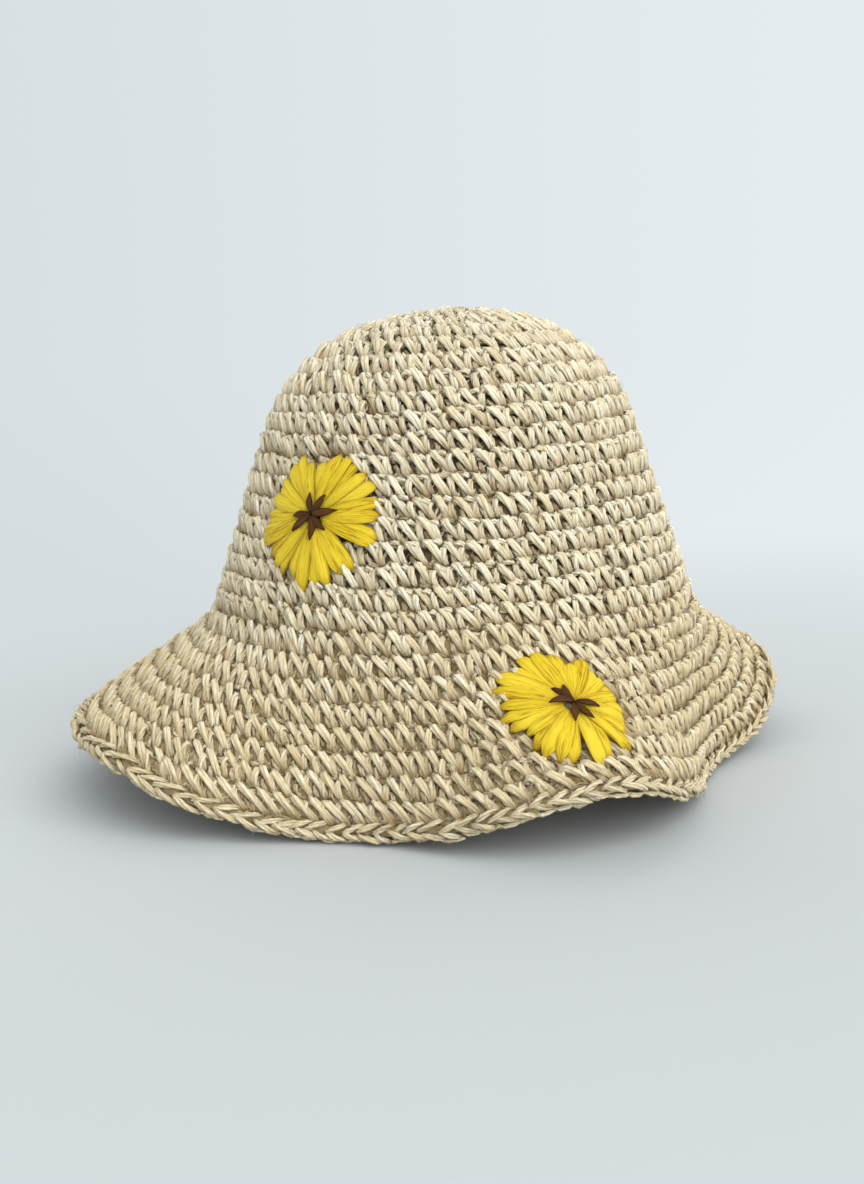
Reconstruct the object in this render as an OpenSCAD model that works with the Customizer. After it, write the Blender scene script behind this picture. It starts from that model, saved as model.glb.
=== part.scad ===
// Crocheted straw sun hat: a round crown, a soft waved brim with a braided edge,
// two embroidered raffia daisies and a narrow inner sweatband.
//
// Every piece lies on one surface. A point on it is given by the angle round
// the crown's axis (0 at the front, growing towards +X) and by the distance
// measured over the straw from the middle of the crown. Millimetres, +Z up.

/* [Crown] */
// Radius of the shallow dome on top
dome_radius = 124; // [110:1:140]
// Slope at which the dome turns into the shoulder, degrees
dome_angle = 13.6; // [11:0.1:16]
// Radius of the shoulder
shoulder_radius = 64.5; // [60:0.5:70]
// Slope of the side wall below level, degrees
wall_angle = 72; // [69:0.5:75]
// Radius of the starting ring
start_radius = 4; // [3:0.5:6]
// Hole in the middle of the starting ring
start_hole = 0.8; // [0.5:0.1:1.5]
// Rounds worked over the dome and the shoulder
top_rounds = 8; // [8:1:9]
// Height of one of those rounds
top_pitch = 9.25; // [8.5:0.05:10]
// Rounds worked down the side wall
wall_rounds = 11; // [10:1:12]
// Height of one of those rounds
wall_pitch = 8.1; // [7.6:0.1:8.8]

/* [Straw] */
// Thickness of the crocheted straw
straw_thick = 4.2; // [3.4:0.1:5.2]
// How far the middle of a round stands proud of its joins
round_bulge = 0.9; // [0.4:0.1:1.3]

/* [Brim] */
// Full rounds in the brim, the first of which turns out of the crown
brim_rounds = 7; // [6:1:8]
// Height of one of those rounds
brim_pitch = 8.5; // [7.8:0.1:9.2]
// Height of the narrow round next to the braid
edge_round_h = 6; // [5:0.5:7]
// Width of the edge braid
braid_w = 7.3; // [6:0.1:8.5]
// Thickness of the edge braid
braid_thick = 5.6; // [4.6:0.1:6.6]
// How much longer the brim is on its left than in the middle
brim_skew = 3.5; // [0:0.5:5]
// Length over which the wall turns out into the brim
turn_length = 13; // [10:0.5:16]
// Slope of the brim below level between its dips, degrees
brim_angle = 31; // [27:0.5:35]
// Extra slope on the left side, degrees
brim_tilt_angle = 1.5; // [0:0.5:3]

/* [Brim dips] */
// Where the front dip is, degrees from the front
front_dip_place_angle = -17; // [-25:1:-10]
// Slope that the front dip adds, degrees
front_dip_slope_angle = 38.5; // [34:0.5:42]
// Half width of the front dip, degrees
front_dip_half_angle = 46; // [42:1:50]
// Where the right dip is, degrees from the front
right_dip_place_angle = 65; // [60:1:70]
// Slope that the right dip adds, degrees
right_dip_slope_angle = 50; // [45:0.5:54]
// Half width of the right dip, degrees
right_dip_half_angle = 56; // [50:1:60]
// Where the back dip is, degrees from the front
back_dip_place_angle = -150; // [-158:1:-142]
// Slope that the back dip adds, degrees
back_dip_slope_angle = 35; // [30:0.5:40]
// Half width of the back dip, degrees
back_dip_half_angle = 60; // [54:1:64]

/* [Crown daisy] */
// Where the daisy on the crown is, degrees from the front
crown_daisy_place_angle = -36.8; // [-45:0.1:-30]
// Number of side wall rounds above its middle
crown_daisy_rounds = 5.8; // [4.7:0.1:6.4]
// Middle length of its petals
crown_petal_len = 26.5; // [22:0.5:29]
// Number of its petals
crown_petals = 28; // [22:1:32]
// Arms of its star
crown_star_arms = 7; // [5:1:8]

/* [Brim daisy] */
// Where the daisy on the brim is, degrees from the front
brim_daisy_place_angle = 18.8; // [14:0.1:24]
// Number of brim rounds above its middle
brim_daisy_rounds = 4.06; // [3.8:0.02:4.3]
// Middle length of its petals
brim_petal_len = 23.5; // [20:0.5:25]
// Number of its petals
brim_petals = 28; // [22:1:32]
// Arms of its star
brim_star_arms = 6; // [5:1:8]

/* [Raffia] */
// How far out two petals part, as a share of their length
petal_waist = 0.8; // [0.6:0.02:0.9]
// How high a petal arches over its underside
petal_arch = 1.5; // [1:0.1:2]
// Gap between the straw and the stitches laid on it
daisy_lift = 0.3; // [0.2:0.05:0.5]
// How far a petal's tip differs from the middle length, either way
petal_uneven = 2.6; // [0:0.1:3]
// Length of a star arm
star_len = 10.5; // [8:0.5:12]
// How far out two arms of a star part, as a share of their length
star_waist = 0.3; // [0.2:0.02:0.5]
// Turn of the star about its middle, degrees
star_turn_angle = 12; // [-20:1:20]
// Thickness of a star arm
star_thick = 1.1; // [0.8:0.1:1.5]
// Length of the tacking stitches behind a daisy
tack_len = 11; // [8:0.5:14]
// Number of tacking stitches behind a daisy
tacks = 9; // [7:1:12]
// Thickness of those stitches
tack_thick = 1; // [0.6:0.1:1.4]

/* [Sweatband] */
// Height of the sweatband
band_h = 13; // [10:0.5:16]
// Height of its lower edge above the end of the crown's wall
band_up = 1.5; // [0:0.5:3]
// Thickness of its ribbon
band_thick = 0.7; // [0.5:0.1:1.2]
// Gap between the ribbon's upper edge and the straw
band_gap = 0.1; // [0.05:0.05:0.3]

/* [Hidden] */
// Segments round a brim round, and round an exact turned round
brim_segs = 96;
turn_fn = 120;
// Steps in the outline of each stitch of a daisy, and rings from its middle out
fan_steps = 4;
fan_rings = 4;
// Height left at the edge of a stitch, as a share of its height
fan_edge = 0.4;

rad = 180 / PI;
dome_arc = dome_radius * dome_angle / rad;
shoulder_arc = shoulder_radius * (wall_angle - dome_angle) / rad;
crown_rounds = top_rounds + wall_rounds;
crown_arc = start_radius + top_rounds * top_pitch + wall_rounds * wall_pitch;
brim_len = brim_rounds * brim_pitch + edge_round_h + braid_w;
crown_daisy_s = start_radius + top_rounds * top_pitch + crown_daisy_rounds * wall_pitch;
brim_daisy_s = crown_arc + brim_daisy_rounds * brim_pitch;
dips = [[front_dip_place_angle, front_dip_slope_angle, front_dip_half_angle],
        [right_dip_place_angle, right_dip_slope_angle, right_dip_half_angle],
        [back_dip_place_angle, back_dip_slope_angle, back_dip_half_angle]];

function two_digits(i) = str(i < 10 ? "0" : "", i);
function crown_name(i) = str("crown_round_", two_digits(i));
function brim_name(i) = str("brim_round_", two_digits(i));

// ---- the surface -------------------------------------------------------

// Slope below level at distance s from the middle of the crown
function crown_slope(s) =
    s < dome_arc ? s / dome_radius * rad
    : min(dome_angle + (s - dome_arc) / shoulder_radius * rad, wall_angle);

// Radius at distance s: dome arc, then shoulder arc, then straight wall
function crown_r(s) =
    let (b = crown_slope(s), a = min(b, dome_angle),
         straight = max(s - dome_arc - shoulder_arc, 0))
    dome_radius * sin(a)
    + (b > a ? shoulder_radius * (sin(b) - sin(a)) : 0)
    + straight * cos(wall_angle);

// Depth below the top at distance s, along the same two arcs and line
function crown_depth(s) =
    let (b = crown_slope(s), a = min(b, dome_angle),
         straight = max(s - dome_arc - shoulder_arc, 0))
    dome_radius * (1 - cos(a))
    + (b > a ? shoulder_radius * (cos(a) - cos(b)) : 0)
    + straight * sin(wall_angle);

crown_h = crown_depth(crown_arc);
base_r = crown_r(crown_arc);

// Radius and height of a point h outside the crown's surface
function crown_point(s, h) =
    let (a = crown_slope(s))
    [crown_r(s) + h * sin(a), crown_h - crown_depth(s) + h * cos(a)];

// A smooth swell from 0 to 1 and back over a half width w, at angle d from it
function swell(d, w) =
    let (x = d - 360 * floor((d + 180) / 360))
    abs(x) < w ? 0.5 + 0.5 * cos(180 * x / w) : 0;

// Slope of the flat part of the brim at an angle round the axis
function brim_slope(th, i = 0) =
    i == len(dips) ? brim_angle - brim_tilt_angle * sin(th)
    : dips[i][1] * swell(th - dips[i][0], dips[i][2]) + brim_slope(th, i + 1);

// Chord over arc of a turn through x degrees to either side of its middle
function sinc(x) = abs(x) < 0.01 ? 1 : sin(x) / (x / rad);

// Radius and height of a point h outside the brim, t along it at angle th:
// a turn from the wall's slope to the brim's slope, then a straight run
function brim_point(th, t, h) =
    let (run = t * (1 - brim_skew * sin(th) / brim_len),
         turned = min(run / turn_length, 1),
         end = brim_slope(th),
         now = wall_angle + (end - wall_angle) * turned,
         mid = (wall_angle + now) / 2,
         chord = min(run, turn_length) * sinc((now - wall_angle) / 2),
         rest = max(run - turn_length, 0))
    [base_r + chord * cos(mid) + rest * cos(end) + h * sin(now),
     -chord * sin(mid) - rest * sin(end) + h * cos(now)];

// The point at angle th and distance s over the whole hat, h outside it
function hat_point(th, s, h) =
    let (p = s <= crown_arc ? crown_point(s, h) : brim_point(th, s - crown_arc, h))
    [p[0] * sin(th), -p[0] * cos(th), p[1]];

// ---- sections of the rounds -------------------------------------------

// Distance and offset of the six corners of a round from s0 to s1
function round_section(s0, s1) =
    [[s0, -round_bulge], [(s0 + s1) / 2, 0], [s1, -round_bulge],
     [s1, round_bulge - straw_thick], [(s0 + s1) / 2, -straw_thick],
     [s0, round_bulge - straw_thick]];

// Eight-sided section of the edge braid, flat where it meets the last round
braid_from = crown_arc + brim_len - braid_w;
braid_corner = 1 / cos(22.5) / 2;
braid_section =
    [for (k = [0:7]) [braid_from + braid_w / 2 - braid_w * braid_corner * cos(22.5 + 45 * k),
                      braid_thick * braid_corner * sin(22.5 + 45 * k) - straw_thick / 2]];

// All corners of a section carried once round the hat
function ring_points(section) =
    [for (k = [0:brim_segs - 1]) for (c = section)
        hat_point(360 * k / brim_segs, c[0], c[1])];

// Two triangles for the four-sided face a, b, c, d
function split(a, b, c, d) = [[a, b, c], [a, c, d]];

// Faces that join each section of a closed ring of n corners to the next
function ring_faces(n) =
    [for (k = [0:brim_segs - 1]) for (c = [0:n - 1])
        let (k2 = (k + 1) % brim_segs, c2 = (c + 1) % n)
        each split(k * n + c, k2 * n + c, k2 * n + c2, k * n + c2)];

// ---- where the hat stands ---------------------------------------------

// The braid is the widest and lowest piece: its box centres the hat on the
// origin and stands it on Z = 0
braid_points = ring_points(braid_section);
braid_low = [for (i = [0:2]) min([for (p = braid_points) p[i]])];
braid_high = [for (i = [0:2]) max([for (p = braid_points) p[i]])];
stand = [-(braid_low[0] + braid_high[0]) / 2, -(braid_low[1] + braid_high[1]) / 2,
         -braid_low[2]];

// Inner radius of the side wall at height z above its end
function wall_inside(z) =
    base_r - z / tan(wall_angle) - straw_thick / sin(wall_angle);
band_r = wall_inside(band_up + band_h) - band_gap - band_thick;

// ---- pieces ------------------------------------------------------------

module crown_ring(s0, s1) {
    color("#cdc1a0") translate(stand)
        rotate_extrude($fn = turn_fn)
            polygon([for (c = round_section(s0, s1)) crown_point(c[0], c[1])]);
}

module crown_start() {
    section = round_section(start_hole, start_radius);
    color("#cdc1a0") translate(stand)
        rotate_extrude($fn = turn_fn)
            polygon([for (c = section) crown_point(c[0], c[1])]);
}

module crown_round(i) {
    s0 = start_radius + min(i - 1, top_rounds) * top_pitch
         + max(i - 1 - top_rounds, 0) * wall_pitch;
    crown_ring(s0, s0 + (i <= top_rounds ? top_pitch : wall_pitch));
}

module swept_ring(section) {
    color("#cdc1a0") translate(stand)
        polyhedron(ring_points(section), ring_faces(len(section)), convexity = 8);
}

module brim_round(i) {
    s0 = crown_arc + (i - 1) * brim_pitch;
    swept_ring(round_section(s0, s0 + brim_pitch));
}

module brim_edge_round() {
    s0 = crown_arc + brim_rounds * brim_pitch;
    swept_ring(round_section(s0, s0 + edge_round_h));
}

module brim_edge_braid() {
    swept_ring(braid_section);
}

// The point r away from a daisy's middle in direction dir, h outside the hat
function fan_point(th, s, dir, r, h) =
    let (here = s - r * cos(dir), at = hat_point(th, here, 0))
    hat_point(th + r * sin(dir) / norm([at[0], at[1]]) * rad, here, h);

// A ring of stitches lying on the hat round a daisy's middle, as one closed fan.
// Its outline runs out to each tip and back in to waist times the length between
// two tips. Its underside follows the hat at h0, and its top is a low roof along
// each stitch that reaches h1 and thins to the edge.
module fan(th, s, count, length, uneven, turn, waist, h0, h1) {
    n = count * fan_steps;
    spokes = [for (k = [0:n - 1])
        let (ridge = 0.5 + 0.5 * cos(360 * k / fan_steps),
             tip = length + uneven * sin(137.5 * floor(k / fan_steps + 0.5)))
        [360 * k / n + turn, tip * (waist + (1 - waist) * pow(ridge, 0.6)),
         (h1 - h0) * (0.6 + 0.4 * ridge)]];
    over = [for (p = spokes) for (j = [1:fan_rings])
        fan_point(th, s, p[0], p[1] * j / fan_rings,
                  h0 + p[2] * (j == fan_rings ? fan_edge : 1))];
    under = [for (p = spokes) for (j = [1:fan_rings])
        fan_point(th, s, p[0], p[1] * j / fan_rings, h0)];
    m = len(over);
    faces = [for (k = [0:n - 1])
        let (a = k * fan_rings, b = (k + 1) % n * fan_rings, e = fan_rings - 1)
        each concat(
            [[2 * m, a, b], [2 * m + 1, m + b, m + a]],
            [for (j = [0:fan_rings - 2]) each split(a + j, a + j + 1, b + j + 1, b + j)],
            [for (j = [0:fan_rings - 2])
                each split(m + b + j, m + b + j + 1, m + a + j + 1, m + a + j)],
            split(a + e, m + a + e, m + b + e, b + e))];
    polyhedron(concat(over, under, [fan_point(th, s, 0, 0, h1), fan_point(th, s, 0, 0, h0)]),
        faces, convexity = 8);
}

module petals(th, s, count, length) {
    color("#f5d732") translate(stand)
        fan(th, s, count, length, petal_uneven, 0, petal_waist,
            daisy_lift, daisy_lift + petal_arch);
}

star_from = 2 * daisy_lift + petal_arch;

module star(th, s, arms) {
    color("#4b3226") translate(stand)
        fan(th, s, arms, star_len, 0, star_turn_angle, star_waist,
            star_from, star_from + star_thick);
}

// Short stitches inside the hat where the raffia is caught down
module tacking(th, s) {
    color("#e6c92f") translate(stand)
        fan(th, s, tacks, tack_len, 0, 0, petal_waist,
            -straw_thick - daisy_lift - tack_thick, -straw_thick - daisy_lift);
}

module sweatband() {
    color("#e9e2cf") translate(stand) translate([0, 0, band_up])
        difference() {
            cylinder(h = band_h, r = band_r + band_thick, $fn = turn_fn);
            translate([0, 0, -1]) cylinder(h = band_h + 2, r = band_r, $fn = turn_fn);
        }
}

crown_start();
for (i = [1:crown_rounds])
    crown_round(i);
for (i = [1:brim_rounds])
    brim_round(i);
brim_edge_round();
brim_edge_braid();
petals(crown_daisy_place_angle, crown_daisy_s, crown_petals, crown_petal_len);  // crown_daisy_petals
star(crown_daisy_place_angle, crown_daisy_s, crown_star_arms);  // crown_daisy_star
tacking(crown_daisy_place_angle, crown_daisy_s);  // crown_daisy_tacks
petals(brim_daisy_place_angle, brim_daisy_s, brim_petals, brim_petal_len);  // brim_daisy_petals
star(brim_daisy_place_angle, brim_daisy_s, brim_star_arms);  // brim_daisy_star
tacking(brim_daisy_place_angle, brim_daisy_s);  // brim_daisy_tacks
sweatband();
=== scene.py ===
"""Looks of a crocheted straw sun hat with two raffia daisies and an inner sweatband.

Every piece lies on one surface, the hat's own. A point on it is given by theta,
the angle round the crown's axis (0 at the front, growing towards +X), by s, the
distance over the straw from the middle of the crown, and by h, the distance
outside it. These are in radians and millimetres, and meshes are in metres.
"""

import logging
import math
from dataclasses import dataclass, field, replace
from enum import Enum

import bpy
import numpy as np
from mathutils import Matrix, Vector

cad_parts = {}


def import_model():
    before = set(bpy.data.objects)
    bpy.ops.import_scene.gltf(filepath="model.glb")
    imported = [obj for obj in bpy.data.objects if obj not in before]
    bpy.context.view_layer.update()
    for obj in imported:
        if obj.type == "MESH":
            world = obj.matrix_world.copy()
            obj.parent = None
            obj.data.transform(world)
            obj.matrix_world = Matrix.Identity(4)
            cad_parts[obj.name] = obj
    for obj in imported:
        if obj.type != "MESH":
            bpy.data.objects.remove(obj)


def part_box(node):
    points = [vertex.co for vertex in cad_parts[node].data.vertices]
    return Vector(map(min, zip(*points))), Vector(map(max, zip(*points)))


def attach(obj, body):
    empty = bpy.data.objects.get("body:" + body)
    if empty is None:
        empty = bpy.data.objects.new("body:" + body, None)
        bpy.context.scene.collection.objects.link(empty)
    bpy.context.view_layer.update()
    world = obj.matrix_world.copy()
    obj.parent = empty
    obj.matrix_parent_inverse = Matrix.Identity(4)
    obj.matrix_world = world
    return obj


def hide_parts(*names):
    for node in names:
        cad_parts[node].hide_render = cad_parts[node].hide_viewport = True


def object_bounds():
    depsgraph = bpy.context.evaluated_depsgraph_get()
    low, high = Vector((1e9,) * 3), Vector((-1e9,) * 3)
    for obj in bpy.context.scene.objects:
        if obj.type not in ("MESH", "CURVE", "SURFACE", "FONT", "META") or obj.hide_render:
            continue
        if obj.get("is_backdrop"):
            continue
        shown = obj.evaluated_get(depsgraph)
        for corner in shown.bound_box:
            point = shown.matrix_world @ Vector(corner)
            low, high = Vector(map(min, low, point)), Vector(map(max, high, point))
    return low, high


log = logging.getLogger("sun_hat")
MM = 0.001
BODY = "root"
UV_MAP = "UVMap"
TURN = 2 * np.pi
BAND_ABOVE_BASE = 1.5
Array = np.ndarray
Random = np.random.Generator
Colour = tuple[float, float, float, float]
Table = tuple[tuple[float, float], ...]
Material = bpy.types.Material
Socket = bpy.types.NodeSocket


# ---- the hat's surface ---------------------------------------------------


def turned(degrees: Array, at: float) -> Array:
    """Degrees from one direction to others, the shorter way round."""
    return (degrees - at + 180.0) % 360.0 - 180.0


def once_round(count: int) -> Array:
    """Even angles once round the hat, from the back at -pi."""
    return np.linspace(-np.pi, np.pi, count + 1)[:-1]


def read_off(place: Array, table: Table) -> Array:
    """Values at places along a table of (place, value) pairs, evenly between them."""
    return np.interp(place, *zip(*table))


@dataclass(frozen=True)
class Dip:
    """An extra slope of the brim that swells up and dies away round the hat."""

    at: float
    slope: float
    half_width: float

    def swell(self, degrees: Array) -> Array:
        """Degrees of slope that it adds: a raised cosine, nought past its ends."""
        away = np.clip(turned(degrees, self.at) / self.half_width, -1, 1)
        return self.slope * (0.5 + 0.5 * np.cos(np.pi * away))


@dataclass(frozen=True)
class HatSurface:
    """The surface that the straw lies on: two arcs, a line and a turned-out brim."""

    axis_x: float
    axis_y: float
    base_z: float
    dome_radius: float = 124.0
    dome_angle: float = math.radians(13.6)
    shoulder_radius: float = 64.5
    wall_angle: float = math.radians(72.0)
    crown_arc: float = 167.1
    turn_length: float = 13.0
    brim_length: float = 72.8
    brim_skew: float = 3.5
    brim_angle: float = 31.0
    brim_tilt: float = 1.5
    crown_lean: float = 5.0
    dips: tuple[Dip, ...] = (Dip(-17, 38.5, 46), Dip(65, 50, 56), Dip(-150, 35, 60))
    samples: int = 72

    def crown(self, s: Array) -> tuple[Array, Array, Array]:
        """Profile of the crown: a dome arc, a shoulder arc and a straight wall.

        Args:
            s: Distances over the straw from the middle of the crown.

        Returns:
            Radius, depth below the top, and slope below level.
        """
        dome = self.dome_radius * self.dome_angle
        shoulder = self.shoulder_radius * (self.wall_angle - self.dome_angle)
        a = np.clip(s / self.dome_radius, 0, self.dome_angle)
        b = (s - dome) / self.shoulder_radius + self.dome_angle
        b = np.clip(b, self.dome_angle, self.wall_angle)
        rest = np.clip(s - dome - shoulder, 0, self.crown_arc - dome - shoulder)
        radius = (
            self.dome_radius * np.sin(a)
            + self.shoulder_radius * (np.sin(b) - math.sin(self.dome_angle))
            + rest * math.cos(self.wall_angle)
        )
        depth = (
            self.dome_radius * (1 - np.cos(a))
            + self.shoulder_radius * (math.cos(self.dome_angle) - np.cos(b))
            + rest * math.sin(self.wall_angle)
        )
        return radius, depth, np.where(s < dome, a, b)

    def brim(self, theta: Array, s: Array) -> tuple[Array, Array, Array]:
        """Profile of the brim: a turn from the wall's slope to the brim's, then a line.

        Args:
            theta: Angles round the hat.
            s: Distances over the straw, past the end of the crown.

        Returns:
            Distance out from the crown's base, drop below it, and slope below level.
        """
        skew = 1 - self.brim_skew * np.sin(theta) / self.brim_length
        run = np.clip((s - self.crown_arc) * skew, 0, None)
        slope = self.brim_angle - self.brim_tilt * np.sin(theta)
        dips = sum(dip.swell(np.degrees(theta)) for dip in self.dips)
        slope = np.radians(slope + dips)
        bent = np.clip(run / self.turn_length, 0, 1)
        now = self.wall_angle + (slope - self.wall_angle) * bent
        middle = (self.wall_angle + now) / 2
        chord = np.minimum(run, self.turn_length)
        chord = chord * np.sinc((now - self.wall_angle) / 2 / np.pi)
        rest = np.clip(run - self.turn_length, 0, None)
        out = chord * np.cos(middle) + rest * np.cos(slope)
        drop = chord * np.sin(middle) + rest * np.sin(slope)
        return out, drop, now

    def around(self, theta: Array, radius: Array, z: Array, lean: float = 0.0) -> Array:
        """Points in metres, by their angle, radius and height round the crown's axis.

        Args:
            theta: Angles round the hat.
            radius: Distances from the axis.
            z: Heights.
            lean: How far the axis leans towards +X there.

        Returns:
            The points, with a last axis of three.
        """
        x = self.axis_x + lean + radius * np.sin(theta)
        y = self.axis_y - radius * np.cos(theta)
        return MM * np.stack(np.broadcast_arrays(x, y, z), -1)

    def point(self, theta: Array, s: Array, h: Array) -> Array:
        """Place of a point: its profile's, moved out along the slope's normal.

        Args:
            theta: Angles round the hat.
            s: Distances over the straw.
            h: Distances outside the surface.

        Returns:
            Points in metres, with a last axis of three.
        """
        given = (np.asarray(v, float) for v in (theta, s, h))
        theta, s, h = np.broadcast_arrays(*given)
        radius, depth, slope = self.crown(s)
        whole = float(self.crown(np.array(self.crown_arc))[1])
        out, drop, bent = self.brim(theta, s)
        past = s > self.crown_arc
        slope = np.where(past, bent, slope)
        radius = radius + np.where(past, out, 0.0) + h * np.sin(slope)
        height = whole - depth - np.where(past, drop, 0.0) + h * np.cos(slope)
        lean = self.crown_lean * np.clip(1 - s / self.crown_arc, 0, 1) ** 2
        return self.around(theta, radius, self.base_z + height, lean)

    def normal(self, theta: Array, s: Array) -> Array:
        """Direction out of the surface: from it to the point a millimetre outside."""
        return (self.point(theta, s, 1.0) - self.point(theta, s, 0.0)) / MM

    def radius(self, s: float) -> float:
        """Mean radius round the hat at a distance over the straw."""
        out = self.brim(once_round(self.samples), np.full(self.samples, s))[0].mean()
        return float(self.crown(np.array(s))[0] + (out if s > self.crown_arc else 0))


# ---- meshes --------------------------------------------------------------


def unit(v: Array) -> Array:
    """Vectors of length one: each divided by its own length."""
    return v / np.maximum(np.linalg.norm(v, axis=-1, keepdims=True), 1e-12)


def cells(
    rows: int, columns: int, round_rows: bool = False, round_columns: bool = False
) -> tuple[Array, Array]:
    """Four-cornered faces between the points of a grid.

    A cell's corners are its own point, the next in its row, the one after that in
    the next row, and the one below its own. Where the grid closes, the last row or
    column is joined to the first, but its corners' places go on counting for UVs.

    Args:
        rows: Number of rows of points.
        columns: Number of points in a row.
        round_rows: Whether the rows close.
        round_columns: Whether the columns close.

    Returns:
        Point numbers, f by four, and the corners' rows and columns, f by four by two.
    """
    down = np.arange(rows if round_rows else rows - 1)[:, None]
    over = np.arange(columns if round_columns else columns - 1)[None]
    down, over = np.broadcast_arrays(down, over)
    row = np.stack([down, down, down + 1, down + 1], -1).reshape(-1, 4)
    column = np.stack([over, over + 1, over + 1, over], -1).reshape(-1, 4)
    return row % rows * columns + column % columns, np.stack([row, column], -1)


def in_scene(name: str, data: bpy.types.ID) -> bpy.types.Object:
    """A new object of the data, linked to the scene.

    Args:
        name: Its name.
        data: Its mesh, lamp or camera.

    Returns:
        The object.
    """
    obj = bpy.data.objects.new(name, data)
    bpy.context.scene.collection.objects.link(obj)
    return obj


@dataclass
class Shell:
    """Points and faces of closed shapes, gathered for one mesh."""

    points: list[tuple[Array, ...]] = field(default_factory=list)
    faces: list[tuple[Array, ...]] = field(default_factory=list)
    count: int = 0

    def add(
        self,
        points: Array,
        faces: Array,
        uv: Array,
        tint: Array | float,
        depth: Array | float,
        slot: int = 0,
    ) -> None:
        """Add points with faces that all have the same number of corners.

        Args:
            points: Points in metres, with a last axis of three.
            faces: Point numbers, f by corners.
            uv: A UV for each face corner.
            tint: How light the yarn is at each point, 0 in the mean.
            depth: Share of painted shade at each point, from 0 to 1.
            slot: The material of these faces.
        """
        points = points.reshape(-1, 3)
        values = (np.broadcast_to(v, len(points)) for v in (tint, depth))
        self.points.append((points, *values))
        self.add_faces(faces + self.count, uv, slot)
        self.count += len(points)

    def add_faces(self, faces: Array, uv: Array, slot: int = 0) -> None:
        """Add faces between points that are already in.

        Args:
            faces: Point numbers in the whole shell, f by corners.
            uv: A UV for each face corner.
            slot: The material of these faces.
        """
        sizes, slots = (np.full(len(faces), v) for v in (faces.shape[1], slot))
        self.faces.append((faces.reshape(-1), sizes, slots, uv.reshape(-1, 2)))

    def mesh(self, name: str) -> bpy.types.Mesh:
        """Put everything into a mesh.

        Args:
            name: The mesh's name.

        Returns:
            The mesh, smooth shaded.
        """
        points, tint, depth = (np.concatenate(part) for part in zip(*self.points))
        corners, sizes, slots, uv = (np.concatenate(part) for part in zip(*self.faces))
        starts = np.cumsum(sizes) - sizes
        mesh = bpy.data.meshes.new(name)
        mesh.vertices.add(len(points))
        mesh.vertices.foreach_set("co", points.astype(np.float32).ravel())
        mesh.loops.add(len(corners))
        mesh.loops.foreach_set("vertex_index", corners.astype(np.int32))
        mesh.polygons.add(len(sizes))
        mesh.polygons.foreach_set("loop_start", starts.astype(np.int32))
        mesh.polygons.foreach_set("material_index", slots.astype(np.int32))
        layer = mesh.uv_layers.new(name=UV_MAP)
        layer.data.foreach_set("uv", uv.astype(np.float32).ravel())
        # tint is the yarn's own tone, depth the share of painted shade.
        for label, values in (("tint", tint), ("depth", depth)):
            layer = mesh.attributes.new(label, "FLOAT", "POINT")
            layer.data.foreach_set("value", values.astype(np.float32))
        mesh.update(calc_edges=True)
        mesh.validate()
        mesh.shade_smooth()
        return mesh

    def piece(
        self,
        name: str,
        materials: list[Material],
        slot: str,
        replaces: tuple[str, ...] = (),
    ) -> bpy.types.Object:
        """Make the object, with its place in its mesh, and tie it to the frame.

        Args:
            name: The piece's name.
            materials: Its materials, in the order of the faces' slots.
            slot: Not used.
            replaces: The CAD nodes that it stands for.

        Returns:
            The object.
        """
        mesh = self.mesh(name)
        for material in materials:
            mesh.materials.append(material)
        obj = in_scene(name, mesh)
        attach(obj, BODY)
        if replaces:
            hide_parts(*replaces)
        log.info("%s: %d faces", name, len(mesh.polygons))
        return obj


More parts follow.
